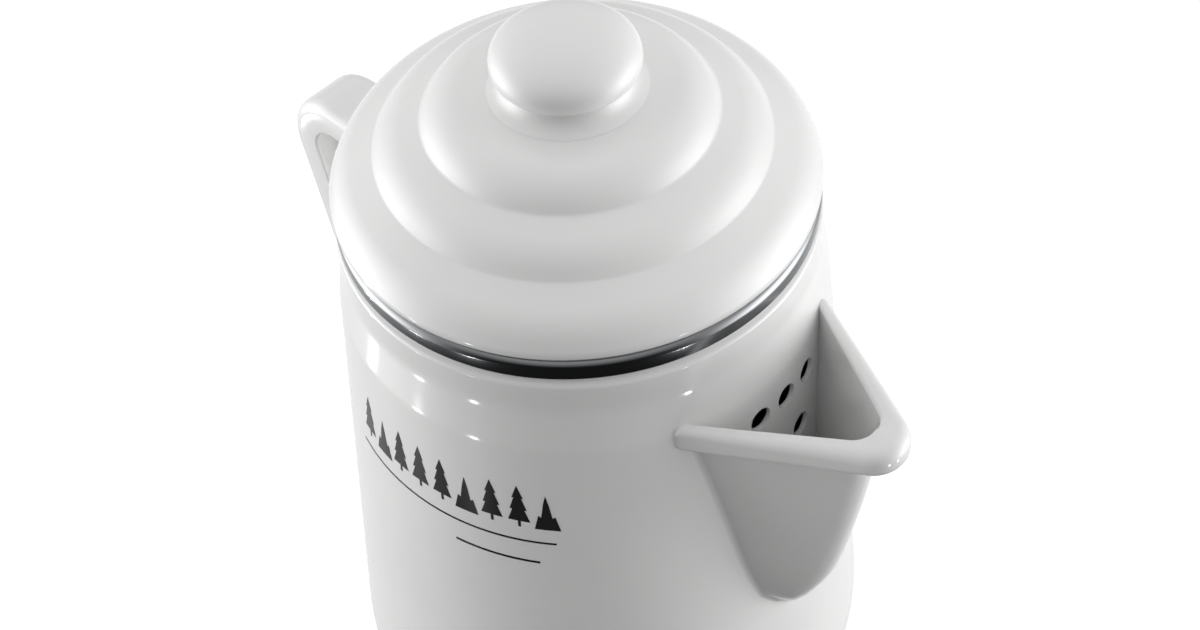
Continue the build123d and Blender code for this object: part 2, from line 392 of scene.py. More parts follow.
def turned(outline: list[Vector], wall: float) -> bmesh.types.BMesh:
    """Sheet turned about the upright axis.

    Args:
        outline: Points of (radius, height) on the outer face.
        wall: Thickness of the sheet, which lies on the side nearer the axis or lower.

    Returns:
        The closed sheet in millimetres.
    """
    bm = bmesh.new()
    verts = [bm.verts.new((p.x, 0.0, p.y)) for p in outline]
    edges = [bm.edges.new(pair) for pair in zip(verts, verts[1:])]
    bmesh.ops.spin(bm, geom=verts + edges, cent=(0, 0, 0), axis=(0, 0, 1), angle=math.tau,
                   steps=STEPS_AROUND, use_merge=True, use_duplicate=False)
    bmesh.ops.remove_doubles(bm, verts=bm.verts[:], dist=0.0005)
    bmesh.ops.recalc_face_normals(bm, faces=bm.faces[:])
    outward = sum(f.normal.x * f.calc_center_median().x + f.normal.y * f.calc_center_median().y
                  + f.normal.z * abs(f.calc_center_median().z) for f in bm.faces)
    if outward <= 0:
        bmesh.ops.reverse_faces(bm, faces=bm.faces[:])
    bmesh.ops.solidify(bm, geom=bm.faces[:], thickness=wall)
    bmesh.ops.recalc_face_normals(bm, faces=bm.faces[:])
    return bm


def lofted(rings: list[list[Vector]], solid: bool) -> bmesh.types.BMesh:
    """Skin through matching rings of points, each extruded from the last.

    Args:
        rings: Rings or open chains with equal numbers of points.
        solid: True if each ring joins up with itself and the first and last are filled.

    Returns:
        The skin in millimetres, normals outwards if it is closed.
    """
    bm = bmesh.new()
    row = [bm.verts.new(p) for p in rings[0]]
    pairs = list(zip(row, row[1:])) + ([(row[-1], row[0])] if solid else [])
    edges = [bm.edges.new(pair) for pair in pairs]
    if solid:
        bmesh.ops.contextual_create(bm, geom=edges)
    for ring in rings[1:]:
        grown = bmesh.ops.extrude_edge_only(bm, edges=edges)["geom"]
        edges = [g for g in grown if isinstance(g, bmesh.types.BMEdge)]
        new_row = follow_row(row, grown)
        for vert, point in zip(new_row, ring):
            vert.co = point
        row = new_row
    if solid:
        bmesh.ops.contextual_create(bm, geom=edges)
    bmesh.ops.recalc_face_normals(bm, faces=bm.faces[:])
    return bm


def follow_row(row: list, grown: list) -> list:
    """Match an extruded row of vertices with the row that it grew from.

    Args:
        row: Vertices before the extrusion, in order.
        grown: Geometry that the extrusion returned.

    Returns:
        The new vertices in the same order.
    """
    fresh = {g for g in grown if isinstance(g, bmesh.types.BMVert)}
    return [next(e.other_vert(v) for e in v.link_edges if e.other_vert(v) in fresh) for v in row]


def make_object(bm: bmesh.types.BMesh, name: str, crease: float = 35.0) -> bpy.types.Object:
    """Turn a mesh in millimetres into an object in metres at the origin.

    Args:
        bm: Mesh, which is freed.
        name: Name of the piece.
        crease: Angle in degrees past which an edge stays sharp.

    Returns:
        The object, linked to the scene.
    """
    bmesh.ops.scale(bm, vec=(MM, MM, MM), verts=bm.verts[:])
    mesh = bpy.data.meshes.new(name)
    bm.to_mesh(mesh)
    bm.free()
    mesh.shade_smooth()
    mesh.set_sharp_from_angle(angle=math.radians(crease))
    piece = bpy.data.objects.new(name, mesh)
    bpy.context.scene.collection.objects.link(piece)
    return piece


def cut(piece: bpy.types.Object, tool: bpy.types.Object, crease: float = 35.0) -> None:
    """Cut one mesh with another, and remove the tool.

    Args:
        piece: Mesh that is kept.
        tool: Mesh that cuts it.
        crease: Angle in degrees past which an edge stays sharp.
    """
    modifier = piece.modifiers.new("cut", "BOOLEAN")
    modifier.operation = "DIFFERENCE"
    modifier.solver = "EXACT"
    modifier.object = tool
    graph = bpy.context.evaluated_depsgraph_get()
    result = bpy.data.meshes.new_from_object(piece.evaluated_get(graph))
    piece.modifiers.clear()
    piece.data = result
    result.shade_smooth()
    result.set_sharp_from_angle(angle=math.radians(crease))
    bpy.data.objects.remove(tool)


def dress(piece: bpy.types.Object, body: Body, slot: Slot, material: bpy.types.Material, *nodes: str) -> None:
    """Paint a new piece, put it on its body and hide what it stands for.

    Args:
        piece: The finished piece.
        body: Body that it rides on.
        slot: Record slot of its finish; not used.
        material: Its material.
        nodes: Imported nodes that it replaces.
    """
    piece.data.materials.clear()
    piece.data.materials.append(material)
    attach(piece, body.value)
    if nodes:
        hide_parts(*nodes)
    log.info("%s rides on %s with %d faces", piece.name, body.value, len(piece.data.polygons))


def repaint(node: str, material: bpy.types.Material) -> None:
    """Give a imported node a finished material.

    Args:
        node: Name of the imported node.
        material: Its material.
    """
    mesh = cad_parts[node].data
    mesh.materials.clear()
    mesh.materials.append(material)
    log.info("%s keeps its packed shape", node)


# --- pot body -------------------------------------------------------------------------------------


@dataclass
class Pot:
    """Conical body: wall with strainer holes, pressed base and rolled steel rim; its printed motif is a piece
    of its own.
    """

    finishes: Finishes
    rim_height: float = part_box("rim_band")[1].z / MM
    belly_radius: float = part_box("pot_shell")[1].x / MM
    band_radius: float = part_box("rim_band")[1].x / MM
    wall: float = 1.2
    seam_height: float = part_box("pot_shell")[0].z / MM
    cone_foot: float = 18.8
    shoulder: tuple[float, float] = (62.6, 154.0)
    neck: tuple[float, float] = (60.3, 166.0)
    rim_wall_radius: float = 58.6
    joggle_height: float = 175.2
    joggle_rise: float = 1.2
    joggle_round: float = 1.4
    rim_drop: float = 1.1
    cone_round: float = 60.0
    shoulder_round: float = 22.0
    base_sheet: float = 1.4
    base_rounds: tuple[float, float, float] = (13.0, 0.5, 0.1)
    base_lap: float = 5.0
    lap_gap: float = 0.3
    seam_gap: float = 0.1
    band_sheet: float = 0.6
    band_leg: float = 5.0
    band_hem: float = 1.2
    band_rounds: tuple[float, float, float] = (0.8, 2.2, 0.8)
    pole: float = 0.02
    hole: float = 6.5
    hole_top: float = 144.3
    hole_pitch: float = 15.2
    hole_angle: float = 8.7
    hole_rows: int = 4
    drill_length: float = 30.0

    def outer_radius(self, height: float) -> float:
        """Radius of the wall's outer face at a height, corners left sharp.

        Args:
            height: Height above the stove.

        Returns:
            The radius.
        """
        stations = [(0.0, self.belly_radius), (self.cone_foot, self.belly_radius),
                    (self.shoulder[1], self.shoulder[0]), (self.neck[1], self.neck[0]),
                    (self.rim_height, self.neck[0])]
        for (low, at_low), (high, at_high) in zip(stations, stations[1:]):
            if height <= high:
                return at_low + (at_high - at_low) * (height - low) / (high - low)
        return self.neck[0]

    def make_wall(self) -> bpy.types.Object:
        """Turn the wall and drill the triangle of strainer holes.

        Returns:
            The wall.
        """
        line = rounded([
            (self.belly_radius, self.seam_height),
            (self.belly_radius, self.cone_foot),
            self.shoulder,
            self.neck,
            (self.neck[0], self.joggle_height),
            (self.rim_wall_radius, self.joggle_height + self.joggle_rise),
            (self.rim_wall_radius, self.rim_height - self.rim_drop),
        ], [self.cone_round, self.shoulder_round, self.shoulder_round, self.joggle_round, self.joggle_round])
        piece = make_object(turned(line, self.wall), "pot_wall")
        cut(piece, self.hole_drills())
        return piece

    def hole_drills(self) -> bpy.types.Object:
        """Level drills for the strainer holes, one fewer in each lower row.

        Returns:
            The drills as one object, which the cut removes.
        """
        bm = bmesh.new()
        drill_middle = self.belly_radius - self.drill_length / 3
        for row in range(self.hole_rows):
            count = self.hole_rows - row
            for i in range(count):
                turn = math.radians(self.hole_angle * (i - (count - 1) / 2))
                height = self.hole_top - row * self.hole_pitch
                place = (Matrix.Rotation(turn, 4, "Z") @ Matrix.Translation((drill_middle, 0, height))
                         @ Matrix.Rotation(math.pi / 2, 4, "Y"))
                bmesh.ops.create_cone(bm, cap_ends=True, segments=40, radius1=self.hole / 2,
                                      radius2=self.hole / 2, depth=self.drill_length, matrix=place)
        return make_object(bm, "drills")

    def make_base(self) -> bpy.types.Object:
        """Turn the pressed pan whose edge laps inside the wall.

        Returns:
            The pan.
        """
        lap = self.belly_radius - self.wall - self.lap_gap
        edge = self.seam_height - self.seam_gap
        line = rounded([(self.pole, 0.0), (self.belly_radius, 0.0), (self.belly_radius, edge), (lap, edge),
                        (lap, self.seam_height + self.base_lap)], list(self.base_rounds))
        return make_object(turned(line, self.base_sheet), "pot_base_pan")

    def make_band(self) -> bpy.types.Object:
        """Turn the steel strip clipped over the raw rim.

        Returns:
            The strip.
        """
        leg = self.rim_wall_radius - self.wall - self.seam_gap - self.band_sheet
        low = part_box("rim_band")[0].z / MM
        line = rounded([
            (leg, self.rim_height - self.band_leg),
            (leg, self.rim_height),
            (self.band_radius, self.rim_height),
            (self.band_radius, low),
            (self.band_radius - self.band_hem, low),
        ], list(self.band_rounds))
        return make_object(turned(line, self.band_sheet), "rolled_rim_band")

    def build(self) -> None:
        """Make and dress every piece of the pot body."""
        dress(self.make_wall(), Body.POT, Slot.ENAMEL, self.finishes.enamel, "pot_shell")
        dress(self.make_base(), Body.POT, Slot.ENAMEL, self.finishes.enamel, "pot_base")
        dress(self.make_band(), Body.POT, Slot.RIM_STEEL, self.finishes.band, "rim_band")


# --- printed motif ----------------------------------------------------------------------------------


@dataclass
class Motif:
    """Row of firs and peaks over two thin lines, printed round the near side of the cone."""

    finishes: Finishes
    pot: Pot
    low: float = 125.5
    height: float = 15.0
    first_turn: float = -106.0
    pitch: float = 6.3
    row: str = "fpfffpffp"
    proud: float = 0.05
    film: float = 0.04
    longest: float = 1.5
    divisions: int = 5
    lines: tuple = ((-110.0, -54.0, 120.0, 0.7), (-78.0, -58.0, 112.2, 0.8))

    def shape(self, letter: str) -> list[tuple[float, float]]:
        """Half outline of one sign, from its foot to its top.

        Args:
            letter: "f" for a fir, anything else for a peak.

        Returns:
            Points as shares of the pitch and of the height.
        """
        fir = [(0.05, 0.0), (0.05, 0.14), (0.40, 0.14), (0.22, 0.42), (0.31, 0.42), (0.14, 0.70),
               (0.21, 0.70), (0.0, 1.0)]
        peak = [(0.46, 0.0), (0.30, 0.34), (0.20, 0.30), (0.10, 0.62), (0.0, 0.84)]
        return fir if letter == "f" else peak

    def outlines(self) -> list[list[tuple[float, float]]]:
        """Closed outlines of every sign and line.

        Returns:
            For each, its corners as (degrees round the pot, height).
        """
        shapes = []
        for i, letter in enumerate(self.row):
            middle = self.first_turn + i * self.pitch
            half = [(x * self.pitch, self.low + y * self.height) for x, y in self.shape(letter)]
            right = [(middle + x, z) for x, z in half]
            left = [(middle - x, z) for x, z in reversed(half[:-1])]
            shapes.append(right + left)
        for start, end, low, tall in self.lines:
            shapes.append([(start, low), (end, low), (end, low + tall), (start, low + tall)])
        return shapes

    def make_film(self) -> bpy.types.Object:
        """Fill the outlines flat, divide them and wrap them on the wall.

        Returns:
            The print as one thin film.
        """
        bm = bmesh.new()
        arc = math.radians(1.0) * self.pot.outer_radius(self.low)
        for outline in self.outlines():
            verts = [bm.verts.new((turn * arc, 0.0, height)) for turn, height in outline]
            edges = [bm.edges.new(pair) for pair in zip(verts, verts[1:] + verts[:1])]
            bmesh.ops.triangle_fill(bm, edges=edges, use_beauty=True, use_dissolve=False)
        for _ in range(self.divisions):
            long_edges = [e for e in bm.edges if e.calc_length() > self.longest]
            bmesh.ops.subdivide_edges(bm, edges=long_edges, cuts=1)
            bmesh.ops.triangulate(bm, faces=bm.faces[:])
        for vert in bm.verts:
            turn = math.radians(vert.co.x / arc)
            radius = self.pot.outer_radius(vert.co.z) + self.proud
            vert.co = (radius * math.cos(turn), radius * math.sin(turn), vert.co.z)
        bmesh.ops.recalc_face_normals(bm, faces=bm.faces[:])
        for face in bm.faces:
            middle = face.calc_center_median()
            if face.normal.x * middle.x + face.normal.y * middle.y < 0:
                face.normal_flip()
        bmesh.ops.solidify(bm, geom=bm.faces[:], thickness=self.film)
        bmesh.ops.recalc_face_normals(bm, faces=bm.faces[:])
        return make_object(bm, "printed_motif")

    def build(self) -> None:
        """Make and dress the print."""
        dress(self.make_film(), Body.POT, Slot.ENAMEL, self.finishes.print)


# --- lid --------------------------------------------------------------------------------------------


@dataclass
class Lid:
    """Stepped dome with a hollow mushroom knob and a steel collar underneath."""

    finishes: Finishes
    rim_height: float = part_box("rim_band")[1].z / MM
    radius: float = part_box("lid_shell")[1].x / MM
    crown_height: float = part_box("lid_shell")[1].z / MM
    knob_top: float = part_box("knob_cap")[1].z / MM
    knob_radius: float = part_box("knob_cap")[1].x / MM
    knob_waist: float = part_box("knob_cap")[0].z / MM
    sheet: float = 1.0
    gap: float = 0.3
    edge_round: float = 2.0
    shoulder: tuple[float, float] = (57.2, 192.2)
    step_one: tuple[float, float] = (48.0, 197.2)
    tier_one: tuple[float, float] = (44.2, 202.4)
    step_two: tuple[float, float] = (35.6, 205.6)
    tier_two: tuple[float, float] = (31.6, 212.2)
    step_round: float = 1.6
    tier_rounds: tuple[float, float, float] = (13.0, 14.0, 12.0)
    skirt_rise: float = 3.2
    skirt_round: float = 3.0
    vent_radius: float = 2.0
    curl_radius: float = 57.2
    knob_wall: float = 0.8
    dome_power: float = 2.3
    dome_steps: int = 24
    neck_drop: float = 3.6
    neck_radius: float = 15.4
    flare_radius: float = 16.6
    flare_rise: float = 1.6
    foot_radius: float = 19.2
    foot_drop: float = 1.2
    foot_edge: float = 0.25
    belly_rise: float = 1.8
    under_rounds: tuple[float, float, float] = (3.0, 0.8, 4.4)
    pole: float = 0.02

    def make_shell(self) -> bpy.types.Object:
        """Turn the stepped dome and its curled edge.

        Returns:
            The dome.
        """
        outer, middle, inner = self.tier_rounds
        line = rounded([
            (self.vent_radius, self.crown_height),
            self.tier_two,
            self.step_two,
            self.tier_one,
            self.step_one,
            self.shoulder,
            (self.radius, self.rim_height + self.skirt_rise),
            (self.radius, self.rim_height + self.gap),
            (self.curl_radius, self.rim_height + self.gap),
        ], [inner, self.step_round, middle, self.step_round, outer, self.skirt_round, self.edge_round])
        return make_object(turned(line, self.sheet), "lid_dome", crease=50.0)

    def knob_outline(self) -> list[Vector]:
        """Outer face of the knob, from its pole down to the foot on the crown.

        Returns:
            Points of (radius, height).
        """
        rise = self.knob_top - self.knob_waist
        power = 2 / self.dome_power
        dome = []
        for i in range(self.dome_steps + 1):
            turn = math.pi / 2 * i / self.dome_steps
            dome.append(Vector((self.knob_radius * math.sin(turn) ** power,
                                self.knob_waist + rise * math.cos(turn) ** power)))
        dome[0].x = self.pole
        neck_top = self.knob_waist - self.neck_drop
        foot = self.crown_height - self.foot_drop
        under = rounded([
            (self.knob_radius, self.knob_waist),
            (self.knob_radius, neck_top + self.belly_rise),
            (self.neck_radius, neck_top),
            (self.flare_radius, foot + self.flare_rise),
            (self.foot_radius, foot + self.foot_edge),
        ], list(self.under_rounds), longest=1.5)
        return dome + under[1:]

    def make_knob(self) -> bpy.types.Object:
        """Turn the knob in one skin, as the enamel hides its seam.

        Returns:
            The knob.
        """
        return make_object(turned(self.knob_outline(), self.knob_wall), "lid_knob", crease=60.0)

    def build(self) -> None:
        """Make and dress every piece of the lid."""
        dress(self.make_shell(), Body.LID, Slot.ENAMEL, self.finishes.enamel, "lid_shell")
        dress(self.make_knob(), Body.LID, Slot.ENAMEL, self.finishes.enamel, "knob_cup", "knob_cap")
        repaint("lid_collar", self.finishes.insert)


# --- spout ------------------------------------------------------------------------------------------


@dataclass
class Spout:
    """Folded trough welded to the wall, with a rolled rim that climbs to the pouring tip."""

    finishes: Finishes
    pot: Pot
    sections: tuple = (
        (170.0, 27.3, 94.9, 7.2),
        (141.0, 24.6, 92.2, 6.8),
        (116.0, 22.4, 88.4, 6.8),
        (94.0, 20.5, 83.9, 7.2),
        (80.0, 17.8, 78.7, 8.0),
        (69.0, 12.6, 72.9, 8.0),
        (62.0, 7.0, 68.3, 6.0),
    )
    root: float = 56.0
    wall: float = 1.0
    rise_degrees: float = 6.0
    root_height: float = 156.7
    bead_height: float = 7.4
    tip_drop: float = 0.8
    bead_plan: tuple[float, float, float, float] = (30.2, 101.0, 9.0, 52.0)
    end_round: float = 2.8
    levels: int = 60
    level_spread: float = 0.85
    side_steps: int = 12
    fold_steps: int = 24
    nose_search: float = 90.0
    nose_depth: float = 0.2
    nose_step: float = 0.05
    rim_overlap: float = 1.5
    root_depth: float = 0.15
    least_fold: float = 0.4
    fold_share: float = 0.9
    swell_start: float = 80.0
    bead_round: float = 3.2
    bead_round_share: float = 0.55
    lip_round: float = 1.2
    lip_round_share: float = 0.3
    mouth_depth: float = 2.0
    mouth_front: float = 90.0
    mouth_root: float = 3.0
    widest_roll: float = 40.0
    plain_roll: float = 3.6
    roll_step: float = 0.7
    roll_aim: float = 8.0
    end_start: float = 0.35
    end_least: float = 0.3
    weld_size: float = 1.3
    weld_proud: float = 0.1
    weld_sink: float = 0.6
    weld_steps: int = 8

    def section_at(self, height: float) -> tuple[float, float, float]:
        """Read the trough's sizes at a height, on a smooth curve through the stations.

        Args:
            height: Height above the stove.

        Returns:
            Half width at the root, reach from the axis and radius of the fold.
        """
        table = self.sections
        index = 0
        while index < len(table) - 2 and height < table[index + 1][0]:
            index += 1
        before = table[max(index - 1, 0)]
        upper, lower = table[index], table[index + 1]
        after = table[min(index + 2, len(table) - 1)]
        share = (upper[0] - height) / (upper[0] - lower[0])
        values = []
        for k in (1, 2, 3):
            slope_in = (lower[k] - before[k]) / (before[0] - lower[0]) * (upper[0] - lower[0])
            slope_out = (after[k] - upper[k]) / (upper[0] - after[0]) * (upper[0] - lower[0])
            s2, s3 = share ** 2, share ** 3
            values.append((2 * s3 - 3 * s2 + 1) * upper[k] + (s3 - 2 * s2 + share) * slope_in
                          + (3 * s2 - 2 * s3) * lower[k] + (s3 - s2) * slope_out)
        return values[0], values[1], values[2]

    def side_angle(self, half_width: float, reach: float, fold: float, root: float) -> float:
        """Angle between the trough's side and its middle line.

        Args:
            half_width: Half width at the root line.
            reach: Distance of the fold's front from the axis.
            fold: Radius of the fold.
            root: Distance of the root line from the axis.

        Returns:
            The angle in radians.
        """
        run = reach - fold - root
        return math.atan2(half_width, run) - math.asin(fold / math.hypot(run, half_width))

    def plan(self, half_width: float, reach: float, fold: float, root: float,
             start: float) -> list[Vector]:
        """Outline seen from above, from one root round the fold to the other.

        Args:
            half_width: Half width at the root line.
            reach: Distance of the fold's front from the axis.
            fold: Radius of the fold.
            root: Distance of the root line from the axis.
            start: Radius of the circle on which the outline starts and ends.

        Returns:
            Points with the same count whatever the sizes are.
        """
        angle = self.side_angle(half_width, reach, fold, root)
        apex = root + half_width / math.tan(angle)
        slope = math.tan(angle) ** 2
        inside = max((apex * slope) ** 2 - (1 + slope) * (apex * apex * slope - start * start), 0.0)
        x = (apex * slope + math.sqrt(inside)) / (1 + slope)
        centre = reach - fold
        touch = centre + fold * math.sin(angle)
        x = min(x, touch - 0.01)
        y = (apex - x) * math.tan(angle)
        side = [Vector((x, y)).lerp(Vector((touch, fold * math.cos(angle))), k / self.side_steps)
                for k in range(self.side_steps)]
        sweep = math.pi / 2 - angle
        arc = [Vector((centre + fold * math.cos(t), fold * math.sin(t)))
               for t in (sweep * (1 - 2 * k / self.fold_steps) for k in range(self.fold_steps + 1))]
        mirror = [Vector((p.x, -p.y)) for p in reversed(side)]
        return side + arc + mirror

    def climb(self, x: float) -> float:
        """How much higher the rim is at a place than where it meets the wall.

        Args:
            x: Distance from the axis towards the spout.

        Returns:
            The rise.
        """
        return (x - self.pot.neck[0]) * math.tan(math.radians(self.rise_degrees))

    def nose_height(self) -> float:
        """Height at which the trough's fold sinks into the wall.

        Returns:
            The height, searched downwards in small steps.
        """
        height = self.nose_search
        while self.section_at(height)[1] > self.pot.outer_radius(height) - self.nose_depth:
            height -= self.nose_step
        return height

    def chain(self, share: float) -> list[Vector]:
        """Outer chain of the trough at one level.

        Args:
            share: 0 at the rim and 1 at the nose.

        Returns:
            Points from one root round the fold to the other.
        """
        nose = self.nose_height()
        top = self.root_height - self.rim_overlap
        level = nose + (top - nose) * (1 - share) ** self.level_spread
        tilt = max(0.0, (level - nose) / (top - nose))
        half_width = self.section_at(level)[0]
        front = level + tilt * self.climb(self.section_at(level)[1])
        reach, fold = self.section_at(front)[1:]
        radius = self.pot.outer_radius(level) - self.root_depth
        fold = min(fold, max(self.least_fold, (reach - radius) * self.fold_share + self.least_fold))
        flat = self.plan(half_width, reach, fold, self.root, radius)
        return [Vector((p.x, p.y, level + tilt * self.climb(p.x))) for p in flat]

    def make_trough(self) -> bpy.types.Object:
        """Loft the folded sheet and give it its thickness.

        Returns:
            The trough.
        """
        chains = [self.chain(k / self.levels) for k in range(self.levels + 1)]
        bm = lofted(chains, solid=False)
        if sum(f.normal.x for f in bm.faces) < 0:
            bmesh.ops.reverse_faces(bm, faces=bm.faces[:])
        bmesh.ops.solidify(bm, geom=bm.faces[:], thickness=self.wall)
        bmesh.ops.recalc_face_normals(bm, faces=bm.faces[:])
        return make_object(bm, "spout_trough", crease=50.0)

    def bead_ring(self, outer: Vector, inward: Vector, width: float, scale: float) -> list[Vector]:
        """Cross section of the rolled rim at one place along it.

        Args:
            outer: Point on the rim's outer face, at the height of its top.
            inward: Level direction towards the inside of the mouth.
            width: Level thickness of the roll there.
            scale: Share of the full section, below 1 near the roll's ends.

        Returns:
            The section's points in order.
        """
        swell = (outer.x - self.swell_start) / (self.bead_plan[1] - self.swell_start)
        height = self.bead_height + self.tip_drop * max(0.0, swell)
        corners = [(0.0, -height / 2), (0.0, -height), (width, -height), (width, 0.0), (0.0, 0.0),
                   (0.0, -height / 2)]
        soft = min(self.bead_round, width * self.bead_round_share)
        lip = min(self.lip_round, width * self.lip_round_share)
        section = rounded(corners, [soft, self.lip_round / 2, lip, soft], steps=8, longest=50.0)[:-1]
        rise = math.radians(self.rise_degrees)
        up = Vector((-math.sin(rise), 0, math.cos(rise)))
        middle = Vector((width / 2, -height / 2))
        ring = []
        for p in section:
            q = middle + (p - middle) * scale
            ring.append(outer + inward * q.x + up * q.y)
        return ring

    def mouth_line(self) -> list[Vector]:
        """Inner face of the trough at the rim, seen from above.

        Returns:
            Points from one root round the fold to the other.
        """
        level = self.root_height - self.mouth_depth
        half_width = self.section_at(level)[0]
        reach, fold = self.section_at(level + self.climb(self.mouth_front))[1:]
        inner_half = half_width - self.wall / math.cos(self.side_angle(half_width, reach, fold, self.root))
        return self.plan(inner_half, reach - self.wall, fold - self.wall, self.root,
                         self.pot.outer_radius(level) - self.mouth_root)

    def roll_width(self, outer: Vector, inward: Vector, mouth: list[Vector]) -> float:
        """Distance from the roll's outer face to the trough's inner face.

        Args:
            outer: Point on the roll's outer face.
            inward: Level direction in which to look.
            mouth: Inner face of the trough.

        Returns:
            The nearest distance, or a plain roll's width where the look misses.
        """
        best = math.inf
        for a, b in zip(mouth, mouth[1:]):
            run = b - a
            cross = inward.x * run.y - inward.y * run.x
            if cross == 0.0:
                continue
            gap = a - Vector((outer.x, outer.y))
            along = (gap.x * run.y - gap.y * run.x) / cross
            share = (gap.x * inward.y - gap.y * inward.x) / cross
            if 0 <= share <= 1 and along > 0:
                best = min(best, along)
        return best if best < self.widest_roll else self.plain_roll

    def make_bead(self) -> bpy.types.Object:
        """Sweep the rolled rim round the mouth, wider at the tip and rounded at its two ends.

        Returns:
            The rolled rim.
        """
        half_width, reach, fold, root = self.bead_plan
        start = self.pot.outer_radius(self.root_height - self.mouth_root) - 2 * self.root_depth
        line = self.evened(self.plan(half_width, reach, fold, root, start))
        mouth = self.mouth_line()
        centre = Vector((reach - fold, 0.0))
        total = len(line) - 1
        rings = []
        for i, p in enumerate(line):
            ahead = line[min(i + 1, total)] - line[max(i - 1, 0)]
            inward = Vector((ahead.y, -ahead.x, 0)).normalized()
            if inward.x * (centre.x - self.roll_aim - p.x) + inward.y * (centre.y - p.y) < 0:
                inward.negate()
            from_end = min((p - line[0]).length, (p - line[-1]).length)
            rest = 1 - min(1.0, (from_end + self.end_start) / self.end_round)
            outer = Vector((p.x, p.y, self.root_height + self.climb(p.x)))
            width = self.roll_width(outer, inward, mouth)
            scale = max(math.sqrt(1 - rest * rest), self.end_least)
            rings.append(self.bead_ring(outer, inward, width, scale))
        return make_object(lofted(rings, solid=True), "spout_rolled_rim", crease=50.0)

    def evened(self, flat: list[Vector]) -> list[Vector]:
        """Divide a plan's long sides so that its steps are all short.

        Args:
            flat: The plan's points.

        Returns:
            The same line with more points.
        """
        line = [flat[0]]
        for a, b in zip(flat, flat[1:]):
            parts = max(1, math.ceil((b - a).length / self.roll_step))
            line += [a.lerp(b, k / parts) for k in range(1, parts + 1)]
        return line

    def make_weld(self, side: int) -> bpy.types.Object:
        """Sweep the enamel fillet that fills the corner between one side and the wall.

        Args:
            side: 1 for the side at positive Y, -1 for the other.

        Returns:
            The fillet.
        """
        rings = []
        for k in range(2, self.levels - 1):
            chain = self.chain(k / self.levels)
            first, second = (chain[0], chain[3]) if side > 0 else (chain[-1], chain[-4])
            along = (second - first).normalized()
            around = Vector((-first.y, first.x, 0)).normalized() * side
            outward = Vector((first.x, first.y, 0)).normalized()
            corner = first + outward * self.weld_proud
            ring = []
            for step in range(self.weld_steps + 1):
                t = step / self.weld_steps
                ring.append(corner + around * self.weld_size * (1 - t) ** 2 + along * self.weld_size * t * t)
            ring.append(corner - outward * self.weld_sink)
            rings.append(ring)
        name = "spout_weld_left" if side > 0 else "spout_weld_right"
        return make_object(lofted(rings, solid=True), name, crease=60.0)

    def build(self) -> None:
        """Make and dress every piece of the spout."""
        dress(self.make_trough(), Body.POT, Slot.ENAMEL, self.finishes.enamel, "spout")
        dress(self.make_bead(), Body.POT, Slot.ENAMEL, self.finishes.enamel)
        for side in (1, -1):
            dress(self.make_weld(side), Body.POT, Slot.ENAMEL, self.finishes.enamel)


# --- handle -----------------------------------------------------------------------------------------


@dataclass
class Handle:
    """Pressed strap bent to an ear, both long edges turned towards the pot."""

    finishes: Finishes
    pot: Pot
    width: float = 18.4
    sheet: float = 1.4
    flange: float = 10.0
    edge_round: float = 3.5
    top_height: float = 158.2
    reach: float = 110.8
    bend: float = 19.0
    low: tuple[float, float] = (93.0, 50.0)
    low_bend: float = 14.0
    foot_height: float = 42.0
    root_depth: float = 0.6
    lip_round: float = 0.6
    inner_round: float = 1.6

    def centre_line(self) -> list[Vector]:
        """Outer line of the strap.

        Returns:
            Points of (distance from the axis, height), from the upper root to the lower.
        """
        top_root = self.pot.outer_radius(self.top_height) - self.root_depth
        low_root = self.pot.outer_radius(self.foot_height) - self.root_depth
        corners = [(top_root, self.top_height), (self.reach, self.top_height), self.low,
                   (low_root, self.foot_height)]
        return rounded(corners, [self.bend, self.low_bend], steps=20, longest=3.0)

    def section(self) -> list[Vector]:
        """Closed cross section of the strap.

        Returns:
            Points of (across, depth towards the pot).
        """
        half = self.width / 2
        inner = half - self.sheet
        right = [(0.0, 0.0), (half, 0.0), (half, self.flange), (inner, self.flange), (inner, self.sheet)]
        corners = right + [(-x, depth) for x, depth in reversed(right)]
        lip = [self.lip_round] * 2
        rounds = [self.edge_round, *lip, self.inner_round, self.inner_round, *lip, self.edge_round]
        return rounded(corners, rounds, steps=6, longest=4.0)[:-1]

    def make_strap(self) -> bpy.types.Object:
        """Sweep the channel section along the strap's line.

        Returns:
            The strap.
        """
        line = self.centre_line()
        section = self.section()
        rings = []
        for i, p in enumerate(line):
            ahead = (line[min(i + 1, len(line) - 1)] - line[max(i - 1, 0)]).normalized()
            depth = Vector((ahead.y, -ahead.x))
            if i in (0, len(line) - 1):
                depth = Vector((0.0, -1.0 if i == 0 else 1.0))
            rings.append([Vector((-(p.x + depth.x * q.y), q.x, p.y + depth.y * q.y)) for q in section])
        return make_object(lofted(rings, solid=True), "strap_handle", crease=50.0)

    def build(self) -> None:
        """Make and dress the handle."""
        dress(self.make_strap(), Body.POT, Slot.ENAMEL, self.finishes.enamel, "handle")


# --- percolator insert --------------------------------------------------------------------------------


@dataclass
class Insert:
    """Stem, basket and spreader that stand inside the pot."""

    finishes: Finishes
    nodes: tuple = ("stem_tube", "stem_foot", "stem_collar", "basket_cup", "basket_sleeve", "basket_spreader")

    def build(self) -> None:
        """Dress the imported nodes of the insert."""
        for node in self.nodes:
            repaint(node, self.finishes.insert)


# --- studio -------------------------------------------------------------------------------------------


